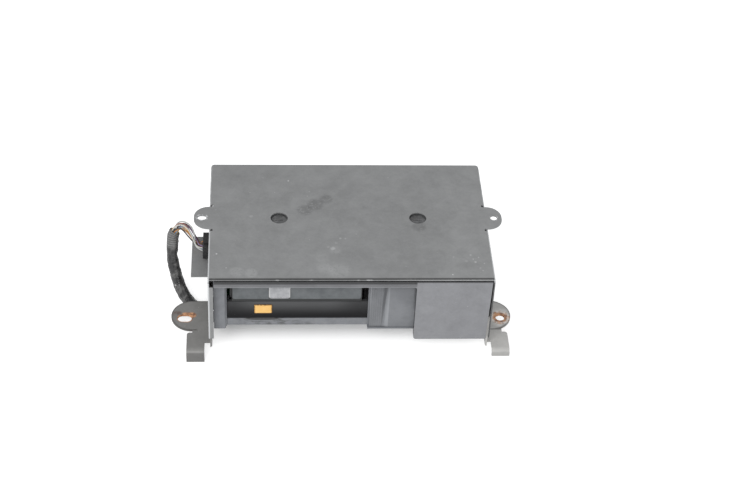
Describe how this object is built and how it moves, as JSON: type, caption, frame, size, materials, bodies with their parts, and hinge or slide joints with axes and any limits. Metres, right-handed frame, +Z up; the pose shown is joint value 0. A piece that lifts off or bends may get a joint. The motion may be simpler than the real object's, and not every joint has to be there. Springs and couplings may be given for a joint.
{
  "type": "car cd changer",
  "caption": "Boot-mounted car disc changer in a sheet steel shield with lugs, a sliding door, a pull-out tray magazine, a disc lift and a plugged wiring loom.",
  "frame": {"origin": "middle of the outline at floor level, without the wiring loom", "axes": "+X to the right seen from the front, +Y to the back, +Z up"},
  "size_m": [0.3526, 0.1864, 0.104],
  "materials": {
    "shield_paint": "semi-gloss dark grey paint, scuffed",
    "bracket_paint": "dull grey-brown paint, rusty at the holes",
    "zinc_steel": "zinc plated",
    "chassis_steel": "galvanised sheet",
    "grey_plastic": "fine textured grey moulding",
    "black_plastic": "glossy black moulding",
    "dark_plastic": "black moulding",
    "magazine_plastic": "dark grey moulding",
    "key_plastic": "light grey ribbed moulding",
    "orange_plastic": "orange translucent button",
    "rubber": "black rubber",
    "board_green": "glass-fibre circuit board",
    "chip_black": "chips and capacitors",
    "lens_glass": "coated lens",
    "nylon": "white acetal",
    "tape": "black cloth tape",
    "wires": "coloured wire insulation"
  },
  "bodies": {
    "housing": {"top_shield": "shield_paint", "front_shield": "shield_paint", "left_bracket": "bracket_paint", "right_bracket": "bracket_paint", "bracket_rivets": "zinc_steel", "unit_screws": "zinc_steel", "mounting_grommets": "rubber", "chassis_base": "chassis_steel", "chassis_cover": "chassis_steel", "transport_plugs": "grey_plastic", "cover_screws": "zinc_steel", "fascia": "grey_plastic", "eject_panel": "black_plastic", "mechanism_frame": "chassis_steel", "rubber_dampers": "rubber", "magazine_guide": "dark_plastic", "lever_pin": "zinc_steel", "main_board": "board_green", "board_components": "chip_black", "connector_socket": "dark_plastic", "connector_plug": "dark_plastic", "lift_posts": "zinc_steel", "gear_plate": "chassis_steel", "lift_motor": "zinc_steel", "cam_rail": "nylon", "wire_bundle": "wires", "harness_loom": "tape", "harness_plug": "dark_plastic"},
    "front_leaf": {"shutter_front_leaf": "grey_plastic"},
    "rear_leaf": {"shutter_rear_leaf": "grey_plastic"},
    "eject_key": {"eject_button": "orange_plastic"},
    "eject_arm": {"eject_lever": "zinc_steel"},
    "magazine": {"magazine_shell": "magazine_plastic", "magazine_front": "magazine_plastic"},
    "magazine_key": {"magazine_button": "key_plastic"},
    "lift": {"lift_deck": "chassis_steel", "spindle_motor": "zinc_steel", "clamp_pin": "zinc_steel", "sled_rails": "zinc_steel", "sled_motor": "zinc_steel"},
    "spindle": {"turntable": "nylon"},
    "clamp": {"clamp_arm": "zinc_steel", "disc_clamper": "dark_plastic"},
    "sled": {"pickup_sled": "dark_plastic", "objective_lens": "lens_glass"},
    "sled_screw": {"lead_screw": "zinc_steel"},
    "puller": {"tray_puller": "nylon"},
    "cam": {"lift_cam": "zinc_steel"},
    "gear": {"lift_gear": "nylon"},
    "pinion": {"motor_pinion": "nylon"},
    "tray_1": {"disc_tray_1": "dark_plastic"},
    "tray_2": {"disc_tray_2": "dark_plastic"},
    "tray_3": {"disc_tray_3": "dark_plastic"},
    "tray_4": {"disc_tray_4": "dark_plastic"},
    "tray_5": {"disc_tray_5": "dark_plastic"},
    "tray_6": {"disc_tray_6": "dark_plastic"}
  },
  "joints": [
    {"name": "door_slide", "type": "slide", "parent": "housing", "child": "front_leaf", "axis": [1, 0, 0], "range_m": [-0.1405, 0]},
    {"name": "door_rear_slide", "type": "slide", "parent": "housing", "child": "rear_leaf", "axis": [1, 0, 0], "range_m": [-0.07025, 0]},
    {"name": "eject_press", "type": "slide", "parent": "housing", "child": "eject_key", "axis": [0, 1, 0], "range_m": [0, 0.003], "stiffness_N_per_m": 250, "springref_m": -0.003},
    {"name": "eject_lever_turn", "type": "hinge", "parent": "housing", "child": "eject_arm", "pos_m": [-0.0543, -0.04975, 0.06], "axis": [0, 0, 1], "range_deg": [-7, 0]},
    {"name": "magazine_slide", "type": "slide", "parent": "housing", "child": "magazine", "axis": [0, -1, 0], "range_m": [0, 0.14]},
    {"name": "magazine_key_press", "type": "slide", "parent": "magazine", "child": "magazine_key", "axis": [0, 1, 0], "range_m": [0, 0.0018], "stiffness_N_per_m": 250, "springref_m": -0.003},
    {"name": "tray_1_slide", "type": "slide", "parent": "magazine", "child": "tray_1", "axis": [-1, 0, 0], "range_m": [-0.087, 0]},
    {"name": "tray_2_slide", "type": "slide", "parent": "magazine", "child": "tray_2", "axis": [-1, 0, 0], "range_m": [-0.087, 0]},
    {"name": "tray_3_slide", "type": "slide", "parent": "magazine", "child": "tray_3", "axis": [-1, 0, 0], "range_m": [-0.087, 0]},
    {"name": "tray_4_slide", "type": "slide", "parent": "magazine", "child": "tray_4", "axis": [-1, 0, 0], "range_m": [-0.087, 0]},
    {"name": "tray_5_slide", "type": "slide", "parent": "magazine", "child": "tray_5", "axis": [-1, 0, 0], "range_m": [-0.087, 0]},
    {"name": "tray_6_slide", "type": "slide", "parent": "magazine", "child": "tray_6", "axis": [-1, 0, 0], "range_m": [-0.087, 0]},
    {"name": "lift_raise", "type": "slide", "parent": "housing", "child": "lift", "axis": [0, 0, 1], "range_m": [0, 0.0269]},
    {"name": "cam_slide", "type": "slide", "parent": "housing", "child": "cam", "axis": [0, 1, 0], "range_m": [-0.0269, 0]},
    {"name": "gear_turn", "type": "hinge", "parent": "housing", "child": "gear", "pos_m": [0.136, -0.00175, 0.0477], "axis": [1, 0, 0], "range_deg": [0, 322]},
    {"name": "pinion_turn", "type": "hinge", "parent": "housing", "child": "pinion", "pos_m": [0.136, -0.00896, 0.04265], "axis": [1, 0, 0], "range_deg": [-386, 0]},
    {"name": "spindle_turn", "type": "hinge", "parent": "lift", "child": "spindle", "pos_m": [0.0397, 0.00525, 0.06], "axis": [0, 0, 1], "continuous": true},
    {"name": "clamp_turn", "type": "hinge", "parent": "lift", "child": "clamp", "pos_m": [0.0397, 0.07325, 0.0635], "axis": [1, 0, 0], "range_deg": [0, 1.2]},
    {"name": "sled_slide", "type": "slide", "parent": "lift", "child": "sled", "axis": [1, 0, 0], "range_m": [0, 0.034]},
    {"name": "sled_screw_turn", "type": "hinge", "parent": "lift", "child": "sled_screw", "pos_m": [0.0857, -0.01675, 0.0568], "axis": [1, 0, 0], "range_deg": [0, 6125]},
    {"name": "puller_slide", "type": "slide", "parent": "lift", "child": "puller", "axis": [1, 0, 0], "range_m": [0, 0.08]}
  ],
  "couplings": [
    {"joint": "door_rear_slide", "follows": "door_slide", "ratio": 0.5},
    {"joint": "eject_lever_turn", "follows": "eject_press", "rad_per_m": -38.462},
    {"joint": "cam_slide", "follows": "lift_raise", "ratio": -1},
    {"joint": "gear_turn", "follows": "lift_raise", "rad_per_m": 208.33},
    {"joint": "pinion_turn", "follows": "lift_raise", "rad_per_m": -250},
    {"joint": "sled_screw_turn", "follows": "sled_slide", "rad_per_m": 3141.6}
  ]
}
